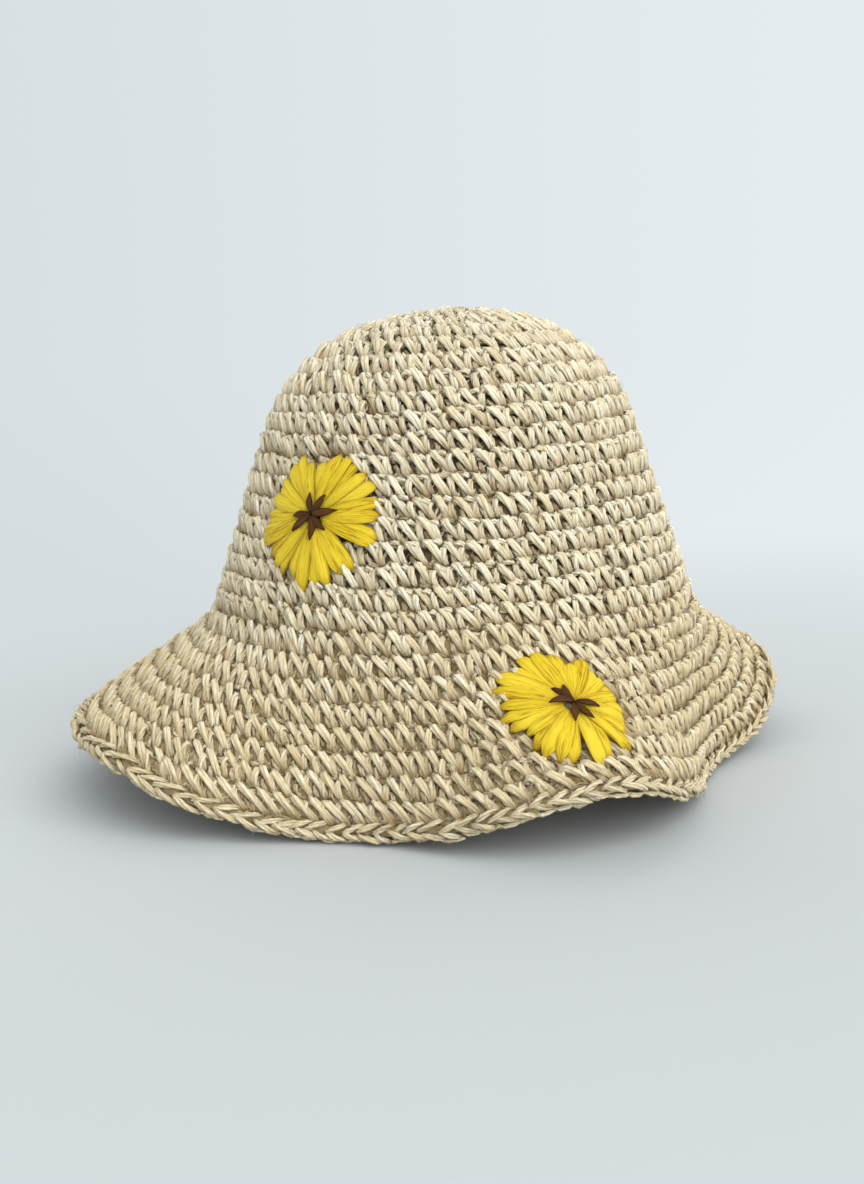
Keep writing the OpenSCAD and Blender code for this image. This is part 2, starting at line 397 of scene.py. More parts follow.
@dataclass(frozen=True)
class Yarn:
    """A twisted yarn: a tube whose outline has a sunk groove between its plies.

    groove is how much less its radius is there, and swell how much of that the
    rest gains. twist is its turns over a strand, and flat its height over its
    width. Its painted shade grows with its depth in the fabric, from face over the
    next face_depth, both in millimetres, or towards the outside where face_depth
    is less than nought.
    """

    plies: int = 3
    ply_sides: int = 3
    groove: float = 0.22
    swell: float = 0.25
    twist: float = 0.5
    flat: float = 0.9
    face: float = -0.5
    face_depth: float = 2.6
    uv_per_metre: float = 100.0
    uv_spread: float = 60.0

    def lay(
        self,
        shell: Shell,
        path: Array,
        radius: Array,
        out: Array,
        height: Array,
        tint: Array,
        rng: Random,
    ) -> None:
        """Carry the outline along many paths at once.

        At a ring, the outline is centre + r (cos a across + flat sin a up), where
        across is square to the path and to the way out of the fabric, and a grows
        with the ring as the plies twist. The first corner of each ply lies in a
        groove, so its r is less. Both ends are closed.

        Args:
            shell: What the strands are added to.
            path: Strands by rings by three, in metres.
            radius: Strands by rings, in metres.
            out: Way out of the fabric at each strand, strands by three.
            height: Millimetres outside the fabric's face at each ring.
            tint: Lightness of each strand.
            rng: Source of the twist's starting angle.
        """
        strands, rings, sides = *path.shape[:2], self.plies * self.ply_sides
        along = unit(np.gradient(path, axis=1))
        side = unit(np.cross(path[:, -1] - path[:, 0], out))[:, None]
        across = unit(side - (side * along).sum(-1, keepdims=True) * along)
        up = np.cross(along, across)
        corner = np.arange(sides)
        turn = TURN * self.twist * np.linspace(0, 1, rings)
        start = rng.uniform(0, TURN, strands)
        angle = TURN * corner / sides + turn[None, :, None] + start[:, None, None]
        sunk = corner % self.ply_sides == 0
        share = np.where(sunk, 1 - self.groove, 1 + self.swell * self.groove)
        wide = radius[..., None] * share
        rise = self.flat * wide * np.sin(angle)
        offset = (wide * np.cos(angle))[..., None] * across[:, :, None]
        offset = offset + rise[..., None] * up[:, :, None]
        points = path[:, :, None] + offset
        # Share of painted shade: it grows on the points that lie deep in the fabric.
        proud = height[..., None] + rise / MM
        depth = np.clip((self.face - proud) / self.face_depth, 0, 1).reshape(-1)
        length = np.linalg.norm(np.diff(path, axis=1), axis=-1).cumsum(1)
        length = np.insert(length * self.uv_per_metre, 0, 0.0, axis=1)
        length += rng.uniform(0, self.uv_spread, strands)[:, None]
        faces, place = cells(rings, sides, round_columns=True)
        first = (np.arange(strands) * rings * sides)[:, None]
        uv = np.broadcast_arrays(length[:, place[..., 0]], place[..., 1] / sides)
        faces = (first[..., None] + faces).reshape(-1, 4)
        first = first + shell.count
        tints = np.repeat(tint, rings * sides)
        shell.add(points, faces, np.stack(uv, -1), tints, depth)
        caps = [first + corner[::-1], first + (rings - 1) * sides + corner]
        uv = np.zeros((2 * strands, sides, 2))
        uv[..., 0] = np.concatenate([length[:, 0], length[:, -1]])[:, None]
        shell.add_faces(np.concatenate(caps), uv)


# ---- finishes ------------------------------------------------------------


def linear(red: int, green: int, blue: int) -> Colour:
    """Colour for a shader from its three 0 to 255 display values, by the sRGB curve."""
    made = [
        c / 12.92 if c <= 0.04045 else ((c + 0.055) / 1.055) ** 2.4
        for c in (red / 255, green / 255, blue / 255)
    ]
    return (*made, 1.0)


@dataclass
class Nodes:
    """The node tree of a material or world, with short calls for the nodes used here.

    An input takes a socket, which is joined to it, or a plain value, which is set.
    """

    owner: Material | bpy.types.World

    def __post_init__(self) -> None:
        """Clear the tree."""
        self.owner.use_nodes = True
        self.tree = self.owner.node_tree
        self.tree.nodes.clear()

    def add(
        self, kind: str, inputs: dict[int | str, object] | None = None, **values: object
    ) -> bpy.types.Node:
        """Add a shader node.

        Args:
            kind: Its type's name without the usual ShaderNode.
            inputs: What its inputs take, by number or name.
            **values: Its properties.

        Returns:
            The node.
        """
        node = self.tree.nodes.new("ShaderNode" + kind)
        for key, value in values.items():
            setattr(node, key, value)
        for key, value in (inputs or {}).items():
            if isinstance(value, Socket):
                self.tree.links.new(value, node.inputs[key])
            else:
                node.inputs[key].default_value = value
        return node

    def math(self, operation: str, *inputs: object) -> Socket:
        """Result of a Math node."""
        return self.add("Math", dict(enumerate(inputs)), operation=operation).outputs[0]

    def mix(self, factor: object, a: object, b: object) -> Socket:
        """Colour between a and b, by a factor from 0 to 1."""
        return self.add("Mix", {0: factor, 6: a, 7: b}, data_type="RGBA").outputs[2]

    def blend(self, factor: Socket, a: Socket, b: Socket) -> Socket:
        """Shader between a and b, by a factor from 0 to 1."""
        return self.add("MixShader", {0: factor, 1: a, 2: b}).outputs[0]

    def ramp(self, factor: Socket, stops: tuple, colours: tuple) -> Socket:
        """Colour of a ramp.

        Args:
            factor: What it reads.
            stops: Where its colours stand, from 0 to 1.
            colours: Its colours.

        Returns:
            The colour.
        """
        node = self.add("ValToRGB", {0: factor})
        band = node.color_ramp.elements
        while len(band) < len(stops):
            band.new(0.5)
        for element, stop, colour in zip(band, stops, colours):
            element.position, element.color = stop, colour
        return node.outputs[0]

    def uv(self) -> Socket:
        """The piece's own UVs."""
        return self.add("UVMap", uv_map=UV_MAP).outputs[0]

    def split(self, vector: Socket) -> bpy.types.NodeOutputs:
        """The three parts of a vector."""
        return self.add("SeparateXYZ", {0: vector}).outputs

    def wave(self, operation: str, place: Socket, turns: float) -> Socket:
        """Sine or cosine of a place, with so many turns to a unit."""
        return self.math(operation, self.math("MULTIPLY", place, TURN * turns))

    def fade(self, value: Socket, start: float, end: float, kind: str) -> Socket:
        """A share that grows smoothly from 0 to 1 as a value goes from start to end."""
        span = {"Value": value, "From Min": start, "From Max": end}
        return self.add("MapRange", span, interpolation_type=kind).outputs[0]

    def noise(self, along: float, across: float, detail: float) -> Socket:
        """Noise on the piece's UVs, stretched along the strand.

        Args:
            along: Waves for each unit along.
            across: Waves for each unit across.
            detail: Detail of the noise.

        Returns:
            Its value, about 0.5 in the mean.
        """
        scaled = self.add("Mapping", {0: self.uv(), "Scale": (along, across, 1)})
        inputs = {"Vector": scaled.outputs[0], "Scale": 1.0, "Detail": detail}
        return self.add("TexNoise", inputs, noise_dimensions="2D").outputs[0]

    def value(self, name: str) -> Socket:
        """A value stored at the mesh's points."""
        return self.add("Attribute", attribute_name=name).outputs["Fac"]

    def surface(
        self,
        colour: Socket,
        height: Socket,
        relief: float,
        roughness: float,
        specular: float = 0.3,
        sheen: float = 0.0,
    ) -> Material:
        """Finish the material with a principled surface and a bump.

        Args:
            colour: Its base colour.
            height: Height for the bump, from 0 to 1.
            relief: What a height of 1 stands for, in metres.
            roughness: Its roughness.
            specular: Strength of its mirror-like part.
            sheen: Weight of its sheen.

        Returns:
            The material.
        """
        bump = self.add("Bump", {"Height": height, "Distance": relief, "Strength": 1.0})
        shader = {
            "Base Color": colour,
            "Normal": bump.outputs[0],
            "Roughness": roughness,
            "Specular IOR Level": specular,
            "Sheen Weight": sheen,
        }
        shown = self.add("BsdfPrincipled", shader).outputs[0]
        self.add("OutputMaterial", {0: shown})
        return self.owner


@dataclass(frozen=True)
class StrawFinish:
    """Twisted paper straw: pale plies with fine lengthwise fibres and painted shade in the
    grooves.

    The grooves lie where the outline is sunk, between the plies, and get painted
    shade, a raised cosine of the way round, to a power. Fainter lines of painted
    shade run beside them, and the parts of a strand that lie deep in the fabric get
    more painted shade. Fibres and patches are noise stretched along the strand.
    """

    light: Colour = linear(243, 237, 217)
    body: Colour = linear(241, 231, 205)
    dull: Colour = linear(220, 203, 165)
    # Painted shade in the grooves between the plies and in the fine lines.
    groove: Colour = linear(188, 167, 121)
    # Painted shade on the parts of a strand that lie deep in the fabric.
    painted_shade: Colour = linear(150, 125, 83)
    stops: tuple[float, float, float] = (0.36, 0.5, 0.66)
    fibres: tuple[float, float, float] = (2.2, 26.0, 4.0)
    patches: tuple[float, float, float] = (2.6, 3.0, 2.0)
    grooves: int = 3
    groove_power: float = 9.0
    # Share of painted shade in the grooves.
    groove_shade_share: float = 0.5
    groove_drop: float = 0.9
    lines: int = 11
    # Share of painted shade in the fine lines.
    line_shade_share: float = 0.3
    tint_share: float = 0.05
    patch_share: float = 0.5
    # Power that keeps the painted shade to the deepest parts.
    painted_shade_power: float = 2.3
    relief: float = 0.0004
    roughness: float = 0.85
    specular: float = 0.08

    def make(self) -> Material:
        """Build the material.

        Returns:
            The material.
        """
        nodes = Nodes(bpy.data.materials.new("paper_straw"))
        around = nodes.split(nodes.uv())[1]
        wave = nodes.wave("COSINE", around, self.grooves)
        groove = nodes.math("MULTIPLY_ADD", wave, 0.5, 0.5)
        groove = nodes.math("POWER", groove, self.groove_power)
        line = nodes.math("MAXIMUM", nodes.wave("COSINE", around, self.lines), 0.0)
        line = nodes.math("MULTIPLY", line, self.line_shade_share)
        fibres = nodes.noise(*self.fibres)
        patches = nodes.noise(*self.patches)
        patches = nodes.math("MULTIPLY", patches, self.patch_share)
        tint = nodes.math("MULTIPLY", nodes.value("tint"), self.tint_share)
        shade = nodes.math("ADD", nodes.math("ADD", tint, fibres), patches)
        shade = nodes.math("SUBTRACT", shade, self.patch_share / 2)
        colour = nodes.ramp(shade, self.stops, (self.dull, self.body, self.light))
        # Painted shade in the grooves and the fine lines.
        sunk = nodes.math("MULTIPLY", groove, self.groove_shade_share)
        colour = nodes.mix(nodes.math("MAXIMUM", sunk, line), colour, self.groove)
        # Painted shade on the parts that lie deep in the fabric.
        depth = nodes.math("POWER", nodes.value("depth"), self.painted_shade_power)
        colour = nodes.mix(depth, colour, self.painted_shade)
        drop = nodes.math("MULTIPLY", groove, self.groove_drop)
        height = nodes.math("SUBTRACT", fibres, drop)
        return nodes.surface(colour, height, self.relief, self.roughness, self.specular)


@dataclass(frozen=True)
class HeartFinish:
    """The straw inside the stitches, which shows only through their gaps, in colours that
    are painted shade.
    """

    # Both colours are painted shade seen through the gaps: near black on the crown, brown
    # on the brim.
    painted_shadow: Colour = linear(50, 39, 24)
    brown: Colour = linear(174, 154, 112)
    patches: tuple[float, float, float] = (0.8, 1.7, 3.0)
    relief: float = 0.0005
    roughness: float = 0.9

    def make(self) -> Material:
        """Build the material: painted shade between near black and brown, that varies in
        patches.

        Returns:
            The material.
        """
        nodes = Nodes(bpy.data.materials.new("straw_inside_painted_shade"))
        patches = nodes.noise(*self.patches)
        change = nodes.math("SUBTRACT", patches, 0.5)
        shade = nodes.math("ADD", nodes.value("tint"), change)
        colour = nodes.mix(shade, self.painted_shadow, self.brown)
        return nodes.surface(colour, patches, self.relief, self.roughness)


@dataclass(frozen=True)
class RaffiaFinish:
    """Flat raffia ribbon: lengthwise ribs, small changes of tone, and painted shade in the
    edge colour at its edges, ends and middle.
    """

    name: str
    body: Colour
    light: Colour
    # The ribs' darkest tone, and also the painted shade at the edges, ends and middle.
    edge: Colour
    roughness: float
    stops: tuple[float, float, float] = (0.3, 0.45, 0.68)
    ribs: tuple[float, float, float] = (0.9, 9.0, 4.0)
    fibres: tuple[float, float, float] = (3.0, 40.0, 2.0)
    rib_share: float = 0.65
    tint_share: float = 0.04
    relief: float = 0.0005
    specular: float = 0.15

    def make(self) -> Material:
        """Build the material from noise stretched along the ribbon.

        Returns:
            The material.
        """
        nodes = Nodes(bpy.data.materials.new(self.name))
        ribs = nodes.math("MULTIPLY", nodes.noise(*self.ribs), self.rib_share)
        fine = nodes.math("MULTIPLY", nodes.noise(*self.fibres), 1 - self.rib_share)
        both = nodes.math("ADD", ribs, fine)
        tint = nodes.math("MULTIPLY", nodes.value("tint"), self.tint_share)
        shade = nodes.math("ADD", both, tint)
        colour = nodes.ramp(shade, self.stops, (self.edge, self.body, self.light))
        # Painted shade in the edge colour, where the ribbon is tucked or overlapped.
        colour = nodes.mix(nodes.value("depth"), colour, self.edge)
        return nodes.surface(colour, both, self.relief, self.roughness, self.specular)


@dataclass(frozen=True)
class RibbonFinish:
    """Ribbed cotton ribbon: fine ribs across the band, their pitch in centimetres."""

    body: Colour = linear(226, 218, 200)
    rib: Colour = linear(196, 186, 164)
    pitch: float = 0.11
    relief: float = 0.0002
    roughness: float = 0.8
    sheen: float = 0.1

    def make(self) -> Material:
        """Build the material from a wave along the band's UV.

        Returns:
            The material.
        """
        nodes = Nodes(bpy.data.materials.new("cotton_ribbon"))
        wave = nodes.wave("SINE", nodes.split(nodes.uv())[0], 1 / self.pitch)
        ribs = nodes.math("MULTIPLY_ADD", wave, 0.5, 0.5)
        colour = nodes.mix(ribs, self.rib, self.body)
        finish = (self.relief, self.roughness)
        return nodes.surface(colour, ribs, *finish, sheen=self.sheen)


# ---- crochet -------------------------------------------------------------


class Course(Enum):
    """The kinds of round in the hat."""

    CROWN = "crown"
    BRIM = "brim"
    EDGE = "edge"
    BRAID = "braid"


@dataclass(frozen=True)
class Strand:
    """One strand of a stitch: where its middle line runs in the stitch's own cell.

    u is the place across the stitch in stitch widths, v the place down the round
    in round heights, h the distance outside the surface and r the yarn's radius,
    both in millimetres. share is how many of the stitches show it.
    """

    u: tuple[float, ...]
    v: tuple[float, ...]
    h: tuple[float, ...]
    r: tuple[float, ...]
    yarn: Yarn = Yarn()
    share: float = 1.0

    def leaning(self, run: float) -> "Strand":
        """The same strand with its sideways run multiplied."""
        return replace(self, u=tuple(x * run for x in self.u))


NUB_YARN = Yarn(ply_sides=2)
THIN_YARN = Yarn(ply_sides=2, groove=0.2)
# The inside strands' painted shade grows towards the outside, where they are seen through
# the gaps.
INNER_YARN = Yarn(ply_sides=2, groove=0.2, face=-3.6, face_depth=-2.6)
LONG_LEG = Strand(
    u=(0.06, -0.02, 0.0, 0.14, 0.37, 0.6, 0.79, 0.92),
    v=(0.17, 0.07, -0.03, 0.01, 0.24, 0.49, 0.74, 0.92),
    h=(-2.3, -1.1, -0.4, -0.1, -0.35, -0.75, -1.4, -2.7),
    r=(0.6, 1.05, 1.3, 1.42, 1.42, 1.36, 1.2, 0.85),
)
SHORT_LEG = Strand(
    u=(0.0, -0.09, -0.13, -0.12, -0.05, 0.06, 0.18),
    v=(0.24, 0.14, 0.16, 0.33, 0.56, 0.79, 0.94),
    h=(-2.6, -1.4, -0.8, -0.6, -0.9, -1.45, -2.7),
    r=(0.6, 1.0, 1.2, 1.28, 1.24, 1.1, 0.75),
)
FILL_LEG = Strand(
    u=(0.22, 0.3, 0.4, 0.52, 0.61),
    v=(0.38, 0.5, 0.68, 0.86, 0.98),
    h=(-2.9, -2.0, -1.75, -1.95, -2.8),
    r=(0.7, 1.0, 1.12, 1.05, 0.7),
    yarn=THIN_YARN,
)
SIDE_LEG = Strand(
    u=(0.6, 0.68, 0.78, 0.88, 0.96),
    v=(0.14, 0.24, 0.42, 0.62, 0.8),
    h=(-2.6, -2.0, -1.9, -2.1, -2.9),
    r=(0.7, 0.95, 1.05, 1.0, 0.7),
    yarn=THIN_YARN,
)
OVER_STRAND = Strand(
    u=(0.0, 0.2, 0.46, 0.72, 0.98),
    v=(0.16, 0.13, 0.13, 0.14, 0.17),
    h=(-2.6, -2.0, -1.8, -2.0, -2.7),
    r=(0.9, 1.15, 1.25, 1.15, 0.9),
    yarn=THIN_YARN,
)
NUB = Strand(
    u=(0.26, 0.38, 0.54, 0.69, 0.8),
    v=(0.12, 0.03, 0.0, 0.04, 0.14),
    h=(-1.9, -0.5, -0.1, -0.45, -1.9),
    r=(0.75, 1.05, 1.18, 1.08, 0.75),
    yarn=NUB_YARN,
    share=0.9,
)
BACK_STRAND = Strand(
    u=(0.1, 0.34, 0.58, 0.84, 1.08),
    v=(0.9, 0.97, 0.93, 0.99, 0.92),
    h=(-2.8, -2.05, -1.85, -2.05, -2.8),
    r=(0.6, 0.85, 0.92, 0.85, 0.6),
    yarn=THIN_YARN,
)
LOW_STRAND = Strand(
    u=(0.5, 0.72, 0.96, 1.2, 1.42),
    v=(1.06, 1.0, 1.05, 0.98, 1.04),
    h=(-2.8, -2.15, -2.0, -2.15, -2.8),
    r=(0.5, 0.7, 0.78, 0.7, 0.5),
    yarn=THIN_YARN,
    share=0.8,
)
INSIDE = (
    Strand(
        u=(0.9, 0.93, 0.74, 0.5, 0.26, 0.1),
        v=(0.04, 0.06, 0.3, 0.56, 0.84, 1.06),
        h=(-2.2, -3.1, -3.35, -3.3, -3.1, -2.4),
        r=(0.7, 1.0, 1.12, 1.12, 1.0, 0.7),
        yarn=INNER_YARN,
    ),
    Strand(
        u=(1.04, 1.1, 1.08, 0.98, 0.86),
        v=(0.1, 0.14, 0.42, 0.74, 1.02),
        h=(-2.2, -3.0, -3.2, -3.0, -2.3),
        r=(0.6, 0.95, 1.0, 0.95, 0.6),
        yarn=INNER_YARN,
    ),
)
LEGS = (LONG_LEG, SHORT_LEG, FILL_LEG, SIDE_LEG)
CROWN_STITCH = (*LEGS, OVER_STRAND, NUB, BACK_STRAND, *INSIDE)
BRIM_STITCH = (
    replace(
        LONG_LEG,
        u=(0.1, 0.0, -0.01, 0.11, 0.36, 0.61, 0.82, 0.95),
        v=(0.17, 0.06, -0.05, 0.0, 0.25, 0.53, 0.8, 0.98),
    ),
    replace(SHORT_LEG, u=(0.04, -0.06, -0.12, -0.13, -0.08, 0.0, 0.1)),
    replace(FILL_LEG, h=(-2.6, -1.5, -1.25, -1.5, -2.6)),
    SIDE_LEG,
    replace(OVER_STRAND, h=(-2.7, -2.2, -2.1, -2.2, -2.7)),
    replace(NUB, h=(-2.4, -1.5, -1.2, -1.5, -2.5), share=0.6),
    BACK_STRAND,
    LOW_STRAND,
    *INSIDE,
)
EDGE_STITCH = (
    replace(LONG_LEG, v=(0.16, 0.05, -0.06, 0.02, 0.34, 0.68, 1.0, 1.25)).leaning(1.3),
    replace(SHORT_LEG, v=(0.26, 0.14, 0.16, 0.4, 0.72, 1.02, 1.25)).leaning(1.5),
    replace(FILL_LEG, v=(0.4, 0.56, 0.8, 1.05, 1.25)).leaning(1.3),
    replace(SIDE_LEG, v=(0.14, 0.3, 0.6, 0.95, 1.2)),
    OVER_STRAND,
    BACK_STRAND,
    LOW_STRAND,
    *INSIDE,
)
BRAID_STITCH = (
    Strand(
        u=(-0.26, -0.04, 0.26, 0.56, 0.88, 1.16),
        v=(0.62, 0.54, 0.44, 0.32, 0.2, 0.11),
        h=(-1.7, -0.6, 0.0, -0.05, -0.7, -2.2),
        r=(0.55, 0.9, 1.06, 1.06, 0.9, 0.55),
    ),
    Strand(
        u=(-0.22, 0.04, 0.36, 0.7, 1.02, 1.26),
        v=(0.52, 0.64, 0.74, 0.82, 0.86, 0.84),
        h=(-1.3, -0.65, -0.45, -0.8, -1.5, -2.5),
        r=(0.55, 0.88, 1.04, 1.02, 0.88, 0.55),
    ),
    Strand(
        u=(1.3, 0.98, 0.6, 0.25, -0.1),
        v=(0.26, 0.34, 0.46, 0.58, 0.68),
        h=(-2.6, -3.6, -3.9, -3.6, -2.8),
        r=(0.55, 0.95, 1.1, 0.95, 0.55),
        yarn=INNER_YARN,
    ),
    Strand(
        u=(1.36, 1.0, 0.62, 0.28, -0.06),
        v=(0.86, 0.88, 0.86, 0.78, 0.6),
        h=(-2.4, -3.2, -3.6, -3.5, -2.8),
        r=(0.55, 0.95, 1.1, 0.95, 0.55),
        yarn=INNER_YARN,
    ),
)


@dataclass(frozen=True)
class Working:
    """How the rounds of one kind are worked.

    loose is how much one stitch differs from the next. relief is how far its head
    stands out past its foot, on the crown and on the brim, and brim_lean what its
    strands' sideways run is multiplied by on the brim. fill_past is how far the
    straw inside reaches past the round, and fibres the number of loose ends.
    """

    stitch: tuple[Strand, ...]
    fibres: int = 160
    loose: float = 0.075
    crown_relief: float = 0.8
    brim_relief: float = 1.4
    brim_lean: float = 1.25
    fill_past: float = 0.4
    suffix: str = "_stitches"


WORKINGS = {
    Course.CROWN: Working(CROWN_STITCH, fibres=24),
    Course.BRIM: Working(BRIM_STITCH),
    Course.EDGE: Working(EDGE_STITCH),
    Course.BRAID: Working(
        BRAID_STITCH,
        fibres=260,
        loose=0.1,
        brim_relief=0.0,
        brim_lean=1.0,
        fill_past=-2.4,
        suffix="_strands",
    ),
}


@dataclass(frozen=True)
class Unevenness:
    """How hand work varies from stitch to stitch, most of it as shares of looseness."""

    rise: float = 0.045
    stretch: float = 1.2
    snake: float = 0.8
    lift: float = 4.0
    drop: float = 0.6
    yarn: float = 0.05


@dataclass(frozen=True)
class LooseFibre:
    """A hair-fine end that sticks out of the straw, and how such ends differ.

    They are bent over their length, and rise from their root by part of a sine.
    """

    length: tuple[float, float] = (2.5, 7.5)
    bend: float = 1.3
    root: float = -0.9
    rise: tuple[float, float] = (0.8, 2.6)
    arc: tuple[float, float] = (0.05, 0.9)
    radius: tuple[float, float] = (0.07, 0.13)
    tip: float = 0.5
    knots: int = 7
    yarn: Yarn = Yarn(plies=1, ply_sides=4, groove=0.0)


@dataclass(frozen=True)
class Spiral:
    """The slow drift of the rounds up the hat, because they are worked as one spiral.

    pitches give the rounds' height along the straw, and each of the waves is its
    number round the hat, its length over the straw and its share of waver.
    """

    pitches: Table = ((73, 9.25), (82, 8.1), (163, 8.1), (171, 8.5))
    start: float = 14.0
    fade_from: float = 205.0
    fade_to: float = 232.0
    waver: float = 0.45
    waves: tuple[tuple[float, float, float], ...] = ((5, 13, 1.0), (11, -9, 0.7))

    def settle(self, theta: Array, s: Array) -> Array:
        """Where a point of a level round lies in the spiral.

        It moves up by a share of the pitch there that grows evenly with the angle,
        and less near the middle of the crown and near the brim's edge. Two slow
        waves round the hat make the rounds waver as hand work does.

        Args:
            theta: Angles round the hat.
            s: Distances over the straw in level rounds.

        Returns:
            Distances over the straw in the spiral.
        """
        near = np.clip(s / self.start, 0, 1) ** 2
        far = np.clip((self.fade_to - s) / (self.fade_to - self.fade_from), 0, 1)
        waves = sum(k * np.sin(n * theta + s / length) for n, length, k in self.waves)
        climb = read_off(s, self.pitches) * theta / TURN
        return s - near * far * (climb + self.waver * waves)


@dataclass(frozen=True)
class Press:
    """A round patch where the straw is drawn in by the daisy sewn over it."""

    theta: float
    s: float
    reach: float
    depth: float = 1.7
    edge: float = 5.0

    def drawn_in(self, surface: HatSurface, theta: Array, s: Array) -> Array:
        """How far the straw is drawn in: less and less over the patch's edge.

        Args:
            surface: The hat's surface.
            theta: Angles round the hat.
            s: Distances over the straw.

        Returns:
            Distances in millimetres.
        """
        across = (theta - self.theta) * surface.radius(self.s)
        away = np.hypot(across, s - self.s)
        return self.depth * np.clip((self.reach - away) / self.edge, 0, 1)


@dataclass
class CrochetRound:
    """A round of crochet: its stitches side by side, and the straw inside them.

    The tables give, by the round's place over the straw, its share of the brim's
    look and lean, the size of its yarn, and how light the straw inside it is
    painted: dark painted shade in the crown's holes, browner on the brim. fill
    is that straw's two faces, and snug how far it reaches under the round before.
    Yarn stays outside nearest, and the straw inside it outside hole.
    """

    name: str
    course: Course
    from_s: float
    to_s: float
    angles: Array
    seed: int
    surface: HatSurface
    spiral: Spiral
    presses: tuple[Press, ...]
    uneven: Unevenness = Unevenness()
    fibre: LooseFibre = LooseFibre()
    brim_look: Table = ((150, 0.0), (190, 1.0))
    brim_lean: Table = ((160, 0.0), (190, 1.0))
    crown_yarn: Table = ((0, 0.75), (10, 1.05), (70, 1.1), (90, 1.03))
    brim_yarn: Table = ((160, 1.02), (200, 1.0))
    # How light the painted shade of the straw inside is: dark on the crown, browner on the
    # brim.
    heart_shades: Table = ((0, 0.12), (140, 0.15), (185, 0.85))
    brim_shade: float = 3.0
    relief_middle: float = 0.4
    buried: float = 2.8
    buried_fade: float = 2.0
    fill: tuple[float, float] = (-2.35, -2.85)
    snug: float = 0.4
    nearest: float = 0.3
    hole: float = 0.6

    def __post_init__(self) -> None:
        """Look up how it is worked, and draw how far each stitch stands up or down."""
        self.working = WORKINGS[self.course]
        self.brim_share = float(read_off(self.from_s, self.brim_look))
        self.rng = np.random.default_rng(self.seed)
        self.rise = self.rng.normal(0, self.uneven.rise, len(self.angles))

    def lay_strand(self, shell: Shell, strand: Strand, yarn_size: float) -> None:
        """Lay one strand of every stitch of the round.

        The strand's cell place turns into an angle and a distance over the straw,
        each stitch a little different from the next.

        Args:
            shell: What the strands are added to.
            strand: The strand.
            yarn_size: What the yarn's radius is multiplied by.
        """
        rng, uneven, working = self.rng, self.uneven, self.working
        kept = np.flatnonzero(rng.random(len(self.angles)) < strand.share)
        each = (len(kept), 1)
        width = (np.roll(self.angles, -1) - np.roll(self.angles, 1)) % TURN / 2
        u, v, h, r = (np.array([a]) for a in (strand.u, strand.v, strand.h, strand.r))
        shift, drop, lift, run = (rng.normal(0, working.loose, each) for _ in range(4))
        u = u + shift + (u - u.mean()) * uneven.stretch * run
        knots = np.linspace(0, 1, len(strand.u))
        wave = rng.uniform(0, TURN, each) + TURN * knots
        u = u + uneven.snake * working.loose * np.sin(wave) * np.sin(np.pi * knots)
        more = (working.brim_relief - working.crown_relief) * self.brim_share
        relief = (working.crown_relief + more) * (self.relief_middle - np.minimum(v, 1))
        relief = relief * np.clip((h + self.buried) / self.buried_fade, 0, 1)
        h = h + relief + uneven.lift * lift * r / r.max()
        v = v + uneven.drop * drop + self.rise[kept][:, None]
        theta = self.angles[kept][:, None] + u * width[kept][:, None]
        s = self.spiral.settle(theta, self.from_s + v * (self.to_s - self.from_s))
        h = h - sum(press.drawn_in(self.surface, theta, s) for press in self.presses)
        path = self.surface.point(theta, np.maximum(s, self.nearest), h)
        middle = len(knots) // 2
        out = self.surface.normal(theta[:, middle], s[:, middle])
        radius = r * yarn_size * (1 + rng.normal(0, uneven.yarn, each)) * MM
        tint = rng.normal(-self.brim_shade * self.brim_share, 1, len(kept))
        strand.yarn.lay(shell, path, radius, out, h, tint, rng)

    def lay_fibres(self, shell: Shell) -> None:
        """Lay loose hair-fine fibres that stick out of the straw.

        Each sets off in its own direction over the straw and turns evenly as it
        goes, so its place is the sum of short steps. It rises in its middle.

        Args:
            shell: What they are added to.
        """
        rng, fibre, n = self.rng, self.fibre, self.working.fibres
        each, knots = (n, 1), np.linspace(0, 1, fibre.knots)
        step = rng.uniform(*fibre.length, each) / fibre.knots
        way = rng.uniform(-np.pi, np.pi, each) + rng.normal(0, fibre.bend, each) * knots
        theta = rng.uniform(-np.pi, np.pi, each)
        theta = theta + (step * np.cos(way)).cumsum(1) / self.surface.radius(self.to_s)
        reach = self.to_s - self.from_s + self.working.fill_past
        s = self.from_s + rng.random(each) * reach
        s = s + (step * np.sin(way)).cumsum(1)
        arc = np.sin(np.pi * np.linspace(*fibre.arc, fibre.knots))
        h = fibre.root + rng.uniform(*fibre.rise, each) * arc
        path = self.surface.point(theta, self.spiral.settle(theta, s), h)
        middle = fibre.knots // 2
        out = self.surface.normal(theta[:, middle], s[:, middle])
        thin = np.linspace(1, fibre.tip, fibre.knots) * MM
        radius = rng.uniform(*fibre.radius, each) * thin
        tint = rng.normal(0, 1, n)
        fibre.yarn.lay(shell, path, radius, out, np.ones(h.shape), tint, rng)

    def lay_heart(self, shell: Shell) -> None:
        """Lay the flat ring of straw inside the stitches, a four-cornered section, whose
        colour is painted shade seen through the gaps.

        Args:
            shell: What it is added to.
        """
        theta = once_round(2 * len(self.angles))[:, None]
        start, end = self.from_s - self.snug, self.to_s + self.working.fill_past
        s = np.maximum([[start, end, end, start]], self.hole)
        points = self.surface.point(theta, s, [np.repeat(self.fill, 2)])
        faces, place = cells(*points.shape[:2], True, True)
        outwards = [0, 3, 2, 1]
        # How light the painted shade of the straw inside is at this round.
        shade = float(read_off(self.from_s, self.heart_shades))
        shell.add(points, faces[:, outwards], place[:, outwards], shade, 0.0, slot=1)

